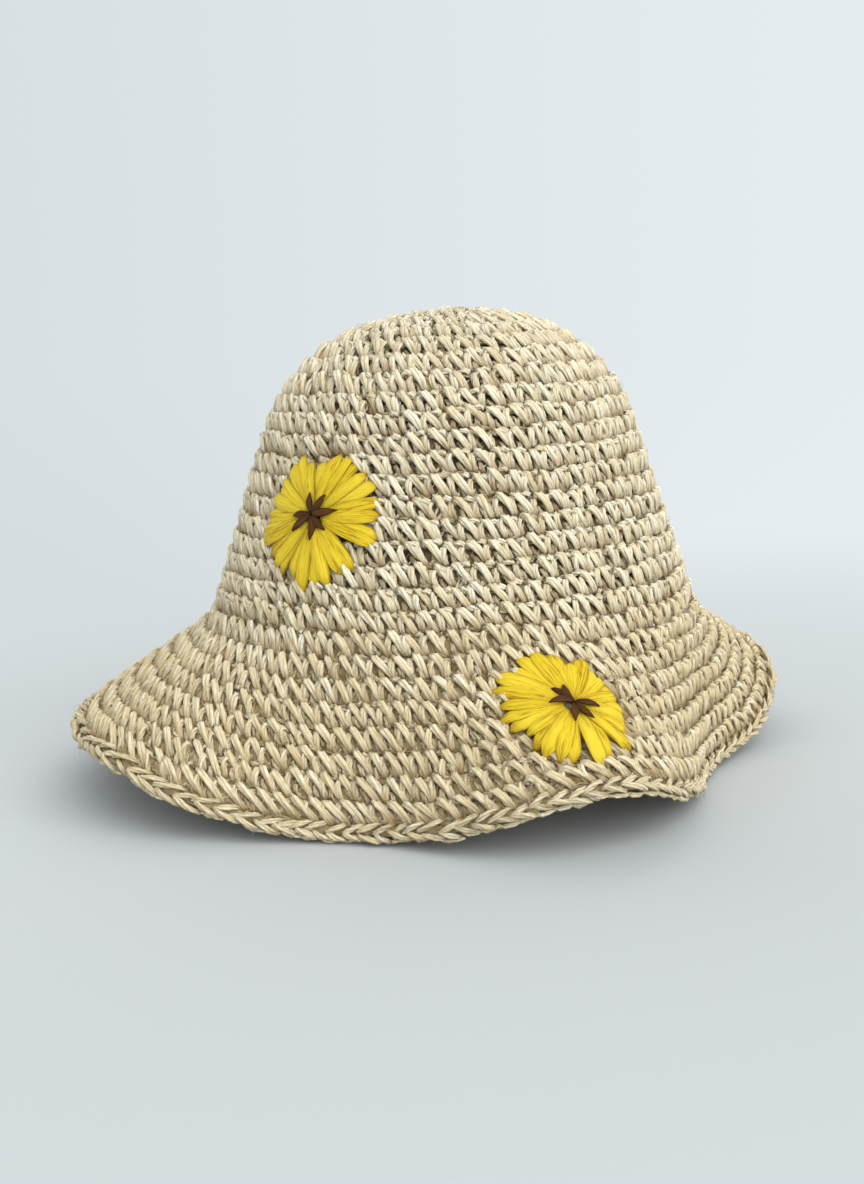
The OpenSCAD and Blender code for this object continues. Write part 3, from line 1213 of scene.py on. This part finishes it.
    def build(self, straw: Material, heart: Material) -> bpy.types.Object:
        """Make the round's piece.

        Args:
            straw: Material of the yarn.
            heart: Material of the straw inside, whose colour is painted shade.

        Returns:
            The piece, which stands for the CAD node of the same round.
        """
        shell = Shell()
        size = float(read_off(self.from_s, self.crown_yarn + self.brim_yarn))
        share = float(read_off(self.from_s, self.brim_lean))
        lean = 1.0 + (self.working.brim_lean - 1.0) * share
        for strand in self.working.stitch:
            self.lay_strand(shell, strand.leaning(lean), size)
        self.lay_fibres(shell)
        self.lay_heart(shell)
        name = self.name + self.working.suffix
        return shell.piece(name, [straw, heart], "straw", (self.name,))


@dataclass
class StrawBody:
    """The whole crocheted straw: its start, rounds, edge round and braid.

    row_shift is how far round a stitch lies from the one that it is worked into, as
    a share of a stitch, and evening how far the round moves towards an even spread.
    """

    surface: HatSurface
    presses: tuple[Press, ...]
    spiral: Spiral = Spiral()
    hole: float = 0.8
    start_radius: float = 4.0
    top_rounds: int = 8
    top_pitch: float = 9.25
    wall_rounds: int = 11
    wall_pitch: float = 8.1
    brim_rounds: int = 7
    brim_pitch: float = 8.5
    edge_height: float = 6.0
    braid_width: float = 7.3
    stitch_widths: Table = ((0, 4.5), (12, 6.0), (24, 7.5), (150, 7.5), (190, 6.4))
    fewest: int = 6
    first_seed: int = 100
    row_shift: float = 0.3
    evening: float = 0.35
    passes: int = 8
    joint_reach: float = 7.0

    def rounds(self) -> list[CrochetRound]:
        """Lay out the rounds from the middle of the crown to the edge.

        Returns:
            The rounds, each shifted round the hat against the one above it.
        """
        crown = [self.top_pitch] * self.top_rounds
        crown += [self.wall_pitch] * self.wall_rounds
        brim = [self.brim_pitch] * self.brim_rounds
        plan = [("crown_start", self.start_radius - self.hole, Course.CROWN)]
        for course, heights in ((Course.CROWN, crown), (Course.BRIM, brim)):
            for number, height in enumerate(heights, 1):
                plan.append((f"{course.value}_round_{number:02d}", height, course))
        plan.append(("brim_edge_round", self.edge_height, Course.EDGE))
        plan.append(("brim_edge_braid", self.braid_width, Course.BRAID))
        made: list[CrochetRound] = []
        s, angles = self.hole, np.zeros(0)
        for seed, (name, height, course) in enumerate(plan, self.first_seed):
            angles = self.worked_into(angles, self.count(s + height / 2), seed)
            own = (name, course, s, s + height, angles, seed)
            made.append(CrochetRound(*own, self.surface, self.spiral, self.presses))
            s += height
        return made

    def count(self, s: float) -> int:
        """Number of stitches that fit round the hat there."""
        width = float(read_off(s, self.stitch_widths))
        return max(self.fewest, round(TURN * self.surface.radius(s) / width))

    def worked_into(self, above: Array, count: int, seed: int) -> Array:
        """Angles of a round's stitches, each worked into a stitch of the round above.

        Each lies a share of a stitch further round than the one above it. Where the
        round has more stitches, one is added half way between two, at even steps
        round the hat, and then every stitch moves half way to the middle of its
        neighbours, several times, and a share of the way to an even spread. Near
        the middle of the crown they are even. At the spiral's joint the first stitch
        of each round follows the last of the next one, so those near it move until
        the first starts half a stitch past the joint, the further away the less.

        Args:
            above: Angles of the round above.
            count: Number of stitches of this round.
            seed: Seed of the places of the added ones.

        Returns:
            The angles from -pi to pi, in order.
        """
        n, more = len(above), count - len(above)
        if more > n / 2:
            return (np.arange(count) + 0.5) * TURN / count - np.pi
        gap = (np.roll(above, -1) - above) % TURN
        moved = above + self.row_shift * gap
        if more > 0:
            start = np.random.default_rng(seed).random()
            at = np.floor((np.arange(more) + start) * n / more).astype(int) % n
            added = above[at] + (self.row_shift + 0.5) * gap[at]
            moved = np.insert(moved, at + 1, added)
        for _ in range(self.passes):
            after = np.append(moved[1:], moved[0] + TURN)
            before = np.append(moved[-1] - TURN, moved[:-1])
            moved = moved + 0.5 * ((before + after) / 2 - moved)
        even = np.arange(len(moved)) * TURN / len(moved)
        moved = moved + self.evening * (even + (moved - even).mean() - moved)
        moved = np.sort((moved + np.pi) % TURN - np.pi)
        width = TURN / len(moved)
        from_joint = np.minimum(moved + np.pi, np.pi - moved) / width
        back = (moved[0] + np.pi) / width - 0.5
        return moved - back * width * np.exp(-((from_joint / self.joint_reach) ** 2))

    def build(self) -> None:
        """Make every round's piece."""
        straw, heart = StrawFinish().make(), HeartFinish().make()
        for each in self.rounds():
            each.build(straw, heart)


# ---- daisies -------------------------------------------------------------


class Side(Enum):
    """The face of the straw that raffia lies on: which way is out of it."""

    OUTSIDE = 1.0
    INSIDE = -1.0


@dataclass(frozen=True)
class Bump:
    """A change of length that is greatest in one direction."""

    at: float
    amount: float
    half_width: float

    def value(self, degrees: Array) -> Array:
        """The change in millimetres in each direction: a bell round its middle."""
        away = turned(degrees, self.at) / self.half_width
        return self.amount * np.exp(-(away**2))


@dataclass(frozen=True)
class Spot:
    """A middle point on the hat, with a map of the straw round it."""

    surface: HatSurface
    theta: float
    s: float

    def point(self, direction: Array, away: Array, beside: Array, h: Array) -> Array:
        """Place of points given by a direction, as on a map round the middle.

        Args:
            direction: Angle from straight up, towards +X.
            away: Distance from the middle in that direction.
            beside: Distance to the right of that line.
            h: Distance outside the surface.

        Returns:
            Points in metres.
        """
        right = away * np.sin(direction) + beside * np.cos(direction)
        up = away * np.cos(direction) - beside * np.sin(direction)
        s = self.s - up
        at = self.surface.point(self.theta, s, 0.0) / MM
        x, y = at[..., 0] - self.surface.axis_x, at[..., 1] - self.surface.axis_y
        return self.surface.point(self.theta + right / np.hypot(x, y), s, h)


@dataclass(frozen=True)
class Raffia:
    """A flat raffia ribbon sewn from near a middle point outwards.

    It starts at start, and its width swells from inner_share through one, at
    full_from of its length, and narrows from taper_from to tip_share, the later the
    higher taper_power is. Ribbons lie at height and in layers over each other. The
    middle rises by arch, and both ends dive into the straw, over the shares dips of
    the length. fold is the depth of lengthwise folds, and bend how far it curves
    sideways. straw is how far in the inside of the straw lies. The fields for its
    ends, sides and root give the painted shade at its ends, where they dive into
    the straw, at its edges, and near the middle, and a length of long and a width
    of wide stand for 1 in its UVs. What ends in uneven or spread is how much
    ribbons differ.
    """

    start: float
    width: float
    height: float
    width_uneven: float = 0.0
    height_uneven: float = 0.0
    layers: int = 1
    layer_order: int = 1
    layer_height: float = 0.0
    side: Side = Side.OUTSIDE
    inner_share: float = 0.5
    full_from: float = 0.55
    tip_share: float = 0.55
    tip_spread: float = 0.4
    tip_round: float = 0.12
    taper_from: float = 0.72
    taper_power: float = 2.2
    arch: float = 0.9
    arch_power: float = 0.7
    crown: float = 0.3
    dive: float = 1.6
    dips: tuple[float, float] = (0.08, 0.16)
    fold: float = 0.18
    folds: tuple[float, float] = (3.0, 6.0)
    bend: float = 0.5
    tilt: float = 0.16
    shades: float = 1.0
    straw: float = 4.2
    thickness: float = 0.3
    # Strengths of the painted shade at the ends, at the edges and near the middle.
    end_shade: float = 0.8
    side_shade: float = 0.4
    root_shade: float = 0.3
    wide: float = 5.0
    long: float = 10.0
    uv_spread: tuple[float, float] = (50.0, 9.0)
    along: int = 16
    across: int = 7

    def faces(self) -> Array:
        """Faces of one ribbon: its two sides, and the walls round their rim.

        Returns:
            Point numbers, outer side first, f by four.
        """
        count = self.along * self.across
        flat, _ = cells(self.along, self.across)
        grid = np.arange(count).reshape(self.along, self.across)
        rim = (grid[0, :-1], grid[:-1, -1], grid[-1, :0:-1], grid[:0:-1, 0])
        rim = np.concatenate(rim)
        after = np.roll(rim, -1)
        walls = np.stack([rim, rim + count, after + count, after], -1)
        faces = np.concatenate([flat[:, ::-1], flat + count, walls])
        return faces[:, ::-1] if self.side is Side.INSIDE else faces

    def sew(self, spot: Spot, direction: Array, end: Array, rng: Random) -> Shell:
        """Sew many ribbons, each a thin closed solid.

        Across, a ribbon is a low arch with a few lengthwise folds, a sine of the
        place across. Along, its width and its height follow smooth curves of the
        share of its length.

        Args:
            spot: The middle that they start from.
            direction: Direction of each, in degrees.
            end: Distance of each one's tip from the middle.
            rng: Source of their differences.

        Returns:
            The ribbons.
        """
        n = len(direction)
        each, one = (n, 1, 1), np.ones((n, self.along, self.across))
        width, layer = np.full(n, self.width), np.arange(n) * self.layer_order
        height = self.height + self.layer_height * (layer % self.layers)
        if self.width_uneven:
            width = width * (1 + rng.normal(0, self.width_uneven, n))
        if self.height_uneven:
            height = height + self.height_uneven * rng.random(n)
        tint = rng.normal(0, self.shades, n)
        given = (np.radians(direction), end, width, height)
        way, end, width, height = (x.reshape(each) for x in given)
        a = np.linspace(0, 1, self.along)[None, :, None]
        b = np.linspace(-1, 1, self.across)[None, None, :]
        grow = np.clip(a / self.full_from, 0, 1)
        close = np.clip((a - self.taper_from) / (1 - self.taper_from), 0, 1)
        share = self.inner_share + (1 - self.inner_share) * np.sin(np.pi / 2 * grow)
        tips = 1 + rng.uniform(-self.tip_spread, self.tip_spread, each)
        tips = self.tip_share * tips
        share = share * (1 - (1 - tips) * close**self.taper_power)
        bend = rng.normal(0, self.bend, each) * np.sin(np.pi * a)
        beside = b * width / 2 * share + bend
        length = end - self.start
        away = self.start + length * a - self.tip_round * width * b**2 * close
        wave = rng.uniform(0, TURN, each)
        folds = self.fold * np.sin(wave + b * rng.uniform(*self.folds, each))
        inner, outer = self.dips
        ends = np.clip((a - (1 - outer)) / outer, 0, 1) ** 2
        ends = ends + np.clip((inner - a) / inner, 0, 1) ** 2
        h = height + self.arch * np.sin(np.pi * a) ** self.arch_power
        h = h - self.crown * width / self.wide * b**2 + folds - self.dive * ends
        h = (h + rng.normal(0, self.tilt, each) * b) * self.side.value
        if self.side is Side.INSIDE:
            h = h - self.straw
        levels = (h, h - self.thickness * self.side.value)
        points = [spot.point(way * one, away * one, beside, level) for level in levels]
        count = 2 * self.along * self.across
        faces = self.faces() + (np.arange(n) * count)[:, None, None]
        faces = faces.reshape(-1, 4)
        u_spread, v_spread = self.uv_spread
        u = length * a / self.long + rng.uniform(0, u_spread, each)
        v = (b + 1) / 2 * width / self.wide + rng.uniform(0, v_spread, each)
        # Painted shade at the ends that dive into the straw, at the edges and near the
        # middle.
        sunk = ends * self.end_shade + self.side_shade * b**4
        sunk = np.clip(sunk + self.root_shade * (1 - grow), 0, 1)
        both = (np.stack([x * one, x * one], 1).reshape(-1) for x in (u, v, sunk))
        u, v, sunk = both
        uv = np.stack([u, v], -1)[faces]
        shell = Shell()
        shell.add(np.stack(points, 1), faces, uv, np.repeat(tint, count), sunk)
        return shell


PETAL = Raffia(
    start=2.5,
    width=5.6,
    height=0.6,
    width_uneven=0.13,
    height_uneven=0.25,
    layers=5,
    layer_order=7,
    layer_height=0.12,
    tip_share=0.42,
    shades=1.4,
)
ARM = Raffia(
    start=0.3,
    width=2.8,
    height=2.2,
    width_uneven=0.07,
    layers=3,
    layer_height=0.25,
    inner_share=0.35,
    tip_share=0.1,
    arch=0.8,
    dive=0.9,
    fold=0.16,
    taper_from=0.5,
    taper_power=1.5,
)
TACK = Raffia(start=1.0, width=4.4, height=0.5, side=Side.INSIDE, dive=0.9)


def evenly(count: int, turn: float, rng: Random) -> Array:
    """Directions once round a daisy in even steps, but for small random turns."""
    return np.arange(count) * 360 / count + rng.normal(0, turn, count)


@dataclass(frozen=True)
class Daisy:
    """An embroidered daisy: yellow petals, a brown star and the stitches behind them.

    lengths are the places where the petals are longer or shorter, and arms the
    star's, each with its direction and length. What ends in turn or uneven is how
    much one differs from the next, in degrees or millimetres.
    """

    name: str
    spot: Spot
    petal_length: float
    lengths: tuple[Bump, ...]
    arms: Table
    seed: int
    petals: int = 28
    petal_turn: float = 2.9
    petal_uneven: float = 1.6
    tacks: int = 12
    tack_length: float = 9.5
    tack_turn: float = 9.0
    tack_uneven: float = 1.2

    def press(self) -> Press:
        """The patch of straw that the daisy draws in."""
        return Press(self.spot.theta, self.spot.s, self.petal_length)

    def build(self, yellow: Material, brown: Material) -> None:
        """Make the petals, the star and the tacking.

        Args:
            yellow: Material of the petals and the tacking.
            brown: Material of the star.
        """
        rng = np.random.default_rng(self.seed)
        way = evenly(self.petals, self.petal_turn, rng)
        length = self.petal_length + sum(bump.value(way) for bump in self.lengths)
        length = length + rng.normal(0, self.petal_uneven, self.petals)
        petals = PETAL.sew(self.spot, way, length, rng)
        star = ARM.sew(self.spot, *np.array(self.arms).T, rng)
        way = evenly(self.tacks, self.tack_turn, rng)
        length = self.tack_length + rng.normal(0, self.tack_uneven, self.tacks)
        tacks = TACK.sew(self.spot, way, length, rng)
        for shell, piece, node, material, slot in (
            (petals, "petal_ribbons", "petals", yellow, "raffia_yellow"),
            (star, "star_ribbons", "star", brown, "raffia_brown"),
            (tacks, "tack_ribbons", "tacks", yellow, "raffia_yellow"),
        ):
            nodes = (f"{self.name}_{node}",)
            shell.piece(f"{self.name}_{piece}", [material], slot, nodes)


# ---- sweatband -----------------------------------------------------------


@dataclass(frozen=True)
class Sweatband:
    """The ribbon inside the head opening, with the stitches that hold its upper edge.

    section is the ribbon's outline, as shares of its thickness and its width, and
    thread_at and thread_in are a stitch's knots: their places as shares of the
    stitch, and their distances out from the ribbon's inside.
    """

    surface: HatSurface
    low: float
    high: float
    radius: float
    thickness: float = 0.7
    segments: int = 180
    section: tuple[tuple[float, ...], tuple[float, ...]] = (
        (0.25, 0, 0, 0, 0.25, 0.75, 1, 1, 1, 0.75),
        (0, 0.03, 0.5, 0.97, 1, 1, 0.97, 0.5, 0.03, 0),
    )
    wave: float = 0.25
    waves: int = 9
    stitches: int = 110
    thread_at: tuple[float, ...] = (0.0, 0.12, 0.36, 0.6, 0.72)
    thread_in: tuple[float, ...] = (0.3, -0.15, -0.25, -0.15, 0.3)
    thread_below: float = 1.6
    thread_radius: float = 0.22
    thread_uneven: tuple[float, float] = (0.03, 0.1)
    thread: Yarn = Yarn(plies=1, ply_sides=5, groove=0.0)
    seed: int = 71

    def build_ribbon(self, cotton: Material) -> None:
        """Make the ribbon: a closed section with rounded edges, turned round the axis.

        Its lower edge has a faint wave, a sine of the angle.

        Args:
            cotton: Material of the ribbon.
        """
        theta = once_round(self.segments)[:, None]
        out, up = np.array(self.section)[:, None]
        wave = self.wave * np.sin(self.waves * theta) * (1 - up)
        z = self.low + wave + (self.high - self.low) * up
        radius = self.radius + out * self.thickness
        points = self.surface.around(theta, radius, z)
        faces, place = cells(*points.shape[:2], True, True)
        centimetres = TURN * self.radius / 10 / self.segments
        shell = Shell()
        shell.add(points, faces, place * (centimetres, 1), 0.0, 0.0)
        band = shell.piece("sweatband_ribbon", [cotton], "ribbon", ("sweatband",))

    def build_thread(self, cotton: Material) -> None:
        """Make the running stitches that hold the ribbon's upper edge.

        Args:
            cotton: Material of the thread.
        """
        rng, n = np.random.default_rng(self.seed), self.stitches
        across, down = self.thread_uneven
        at = np.arange(n)[:, None] + np.array([self.thread_at])
        theta = (at + rng.normal(0, across, (n, 1))) * TURN / n
        radius = self.radius + np.array([self.thread_in])
        z = self.high - self.thread_below + rng.normal(0, down, (n, 1))
        path = self.surface.around(theta, radius, z)
        middle = theta[:, len(self.thread_at) // 2]
        inwards = np.stack([-np.sin(middle), np.cos(middle), 0 * middle], -1)
        size = np.full(theta.shape, self.thread_radius) * MM
        tint = rng.normal(0, 1, n)
        shell = Shell()
        self.thread.lay(shell, path, size, inwards, np.ones(theta.shape), tint, rng)
        shell.piece("sweatband_thread", [cotton], "ribbon")

    def build(self, cotton: Material) -> None:
        """Make the ribbon and its thread of one cotton."""
        self.build_ribbon(cotton)
        self.build_thread(cotton)


# ---- studio --------------------------------------------------------------


@dataclass(frozen=True)
class Lamp:
    """A soft far lamp.

    azimuth is in degrees round from the front, towards +X, elevation in degrees
    above level, and width is the lamp's apparent size in degrees.
    """

    name: str
    azimuth: float
    elevation: float
    power: float
    width: float
    colour: tuple[float, float, float]

    def hang(self) -> None:
        """Add the lamp to the scene, turned to shine on the hat."""
        data = bpy.data.lights.new(self.name, "SUN")
        data.energy, data.color = self.power, self.colour
        data.angle = math.radians(self.width)
        down = math.pi / 2 - math.radians(self.elevation)
        obj = in_scene(self.name, data)
        obj.rotation_euler = (down, 0.0, math.radians(self.azimuth))


@dataclass(frozen=True)
class Studio:
    """A pale floor and background, soft light and the camera.

    The backdrop's colour changes from left to right over backdrop_span, a share of
    the distance from the middle, and the floor fades into it over fade, in metres.
    """

    floor_size: float = 60.0
    floor_drop: float = 0.0005
    floor_colour: Colour = (0.5, 0.525, 0.535, 1.0)
    floor_roughness: float = 0.95
    fade: tuple[float, float] = (0.15, 0.9)
    left: Colour = linear(214, 221, 224)
    right: Colour = linear(230, 237, 240)
    backdrop_span: tuple[float, float] = (-0.5, 0.4)
    sky: Colour = (0.93, 0.97, 1.0, 1.0)
    sky_strength: float = 0.7
    lamps: tuple[Lamp, ...] = (
        Lamp("key", 33, 30, 3.2, 76, (0.985, 0.985, 0.965)),
        Lamp("fill", -55, 5, 0.4, 60, (0.95, 0.98, 1.0)),
        Lamp("back", 190, 22, 1.5, 80, (0.985, 0.985, 0.965)),
    )
    camera_at: tuple[float, float, float] = (0.0025, -0.6128, 0.1664)
    camera_down: float = 8.98
    camera_roll: float = 2.0
    lens: float = 61.67
    sensor: float = 36.0

    def backdrop(self, nodes: Nodes, where: Socket) -> Socket:
        """Colour of the backdrop: it changes smoothly from left to right.

        Args:
            nodes: The tree.
            where: A place or direction.

        Returns:
            The colour.
        """
        way = nodes.add("VectorMath", {0: where}, operation="NORMALIZE").outputs[0]
        share = nodes.fade(nodes.split(way)[0], *self.backdrop_span, "SMOOTHSTEP")
        return nodes.mix(share, self.left, self.right)

    def seen(self, nodes: Nodes) -> Socket:
        """One for rays from the camera, a mirror or glass, and nought for light's own.

        Args:
            nodes: The tree.

        Returns:
            The share.
        """
        ray = nodes.add("LightPath").outputs
        either = nodes.math("MAXIMUM", ray["Is Camera Ray"], ray["Is Glossy Ray"])
        return nodes.math("MAXIMUM", either, ray["Is Transmission Ray"])

    def light_world(self) -> None:
        """Light the scene evenly, and show the plain backdrop to the camera."""
        world = bpy.data.worlds.new("studio")
        bpy.context.scene.world = world
        nodes = Nodes(world)
        where = nodes.add("TexCoord").outputs["Generated"]
        shown = nodes.add("Background", {"Color": self.backdrop(nodes, where)})
        sky = {"Color": self.sky, "Strength": self.sky_strength}
        light = nodes.add("Background", sky).outputs[0]
        both = nodes.blend(self.seen(nodes), light, shown.outputs[0])
        nodes.add("OutputWorld", {0: both})

    def lay_floor(self) -> None:
        """Lay the floor: a wide plain square just under the hat."""
        half = self.floor_size / 2
        square = [(-half, -half), (half, -half), (half, half), (-half, half)]
        mesh = bpy.data.meshes.new("floor")
        mesh.from_pydata([(x, y, -self.floor_drop) for x, y in square], [], [range(4)])
        nodes = Nodes(bpy.data.materials.new("studio_floor"))
        inputs = {
            "Base Color": self.floor_colour,
            "Roughness": self.floor_roughness,
            "Specular IOR Level": 0.0,
        }
        lit = nodes.add("BsdfPrincipled", inputs).outputs[0]
        where = nodes.add("TexCoord").outputs["Object"]
        plain = nodes.add("Emission", {"Color": self.backdrop(nodes, where)})
        far = nodes.add("VectorMath", {0: where}, operation="LENGTH").outputs["Value"]
        fade = nodes.fade(far, *self.fade, "SMOOTHERSTEP")
        share = nodes.math("MULTIPLY", self.seen(nodes), fade)
        both = nodes.blend(share, lit, plain.outputs[0])
        nodes.add("OutputMaterial", {0: both})
        mesh.materials.append(nodes.owner)
        obj = in_scene("floor", mesh)
        obj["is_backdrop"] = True

    def set_camera(self) -> None:
        """Set the camera level with the crown's top, rolled a little, looking down."""
        data = bpy.data.cameras.new("camera")
        data.sensor_fit, data.sensor_width = "HORIZONTAL", self.sensor
        data.lens = self.lens
        obj = in_scene("camera", data)
        down, roll = math.radians(self.camera_down), math.radians(self.camera_roll)
        level = Matrix.Rotation(math.pi / 2 - down, 4, "X")
        turn = Matrix.Rotation(roll, 4, "Y")
        obj.matrix_world = Matrix.Translation(self.camera_at) @ turn @ level
        bpy.context.scene.camera = obj

    def build(self) -> None:
        """Set up the whole studio."""
        self.light_world()
        self.lay_floor()
        for lamp in self.lamps:
            lamp.hang()
        self.set_camera()
        bpy.context.scene.view_settings.view_transform = "Standard"


# ---- the whole hat -------------------------------------------------------


def corners(box: object) -> list[list[float]]:
    """The two corners of a box as plain lists of numbers."""
    return [[float(v) for v in corner] for corner in box]


def main() -> None:
    """Build the hat round the frame."""
    logging.basicConfig(level=logging.INFO, format="%(name)s: %(message)s")
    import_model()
    cad = corners(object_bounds())
    low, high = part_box("sweatband")
    surface = HatSurface(
        axis_x=(low.x + high.x) / 2 / MM,
        axis_y=(low.y + high.y) / 2 / MM,
        base_z=low.z / MM - BAND_ABOVE_BASE,
    )
    daisies = (
        Daisy(
            "crown_daisy",
            Spot(surface, math.radians(-36.8), 125.0),
            26.5,
            (
                Bump(120, 3, 45),
                Bump(-115, 3.5, 25),
                Bump(-5, -3, 35),
                Bump(-68, -4, 15),
            ),
            (
                (-18, 9),
                (32, 9.5),
                (80, 11.5),
                (128, 9.5),
                (172, 10),
                (-130, 10.5),
                (-95, 9.5),
            ),
            seed=11,
        ),
        Daisy(
            "brim_daisy",
            Spot(surface, math.radians(18.8), 201.6),
            23.5,
            (Bump(75, -4.5, 50), Bump(-55, 4, 35), Bump(172, 2.5, 25)),
            ((-40, 10), (-8, 8.5), (-80, 9), (-165, 8.5), (150, 10), (112, 9.5)),
            seed=12,
        ),
    )
    Studio().build()
    StrawBody(surface, tuple(daisy.press() for daisy in daisies)).build()
    yellow = RaffiaFinish(
        "yellow_raffia",
        body=linear(217, 188, 36),
        light=linear(228, 201, 58),
        # The darkest tone, also the painted shade.
        edge=linear(152, 112, 12),
        roughness=0.55,
    ).make()
    brown = RaffiaFinish(
        "brown_raffia",
        body=linear(74, 42, 16),
        light=linear(98, 62, 28),
        # The darkest tone, also the painted shade.
        edge=linear(40, 22, 8),
        roughness=0.65,
    ).make()
    for daisy in daisies:
        daisy.build(yellow, brown)
    inside = (high.x - low.x) / 2 / MM - Sweatband.thickness
    band = Sweatband(surface, low.z / MM, high.z / MM, inside)
    band.build(RibbonFinish().make())
    {"cad": cad, "visual": corners(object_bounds())}


if __name__ == "__main__":
    main()
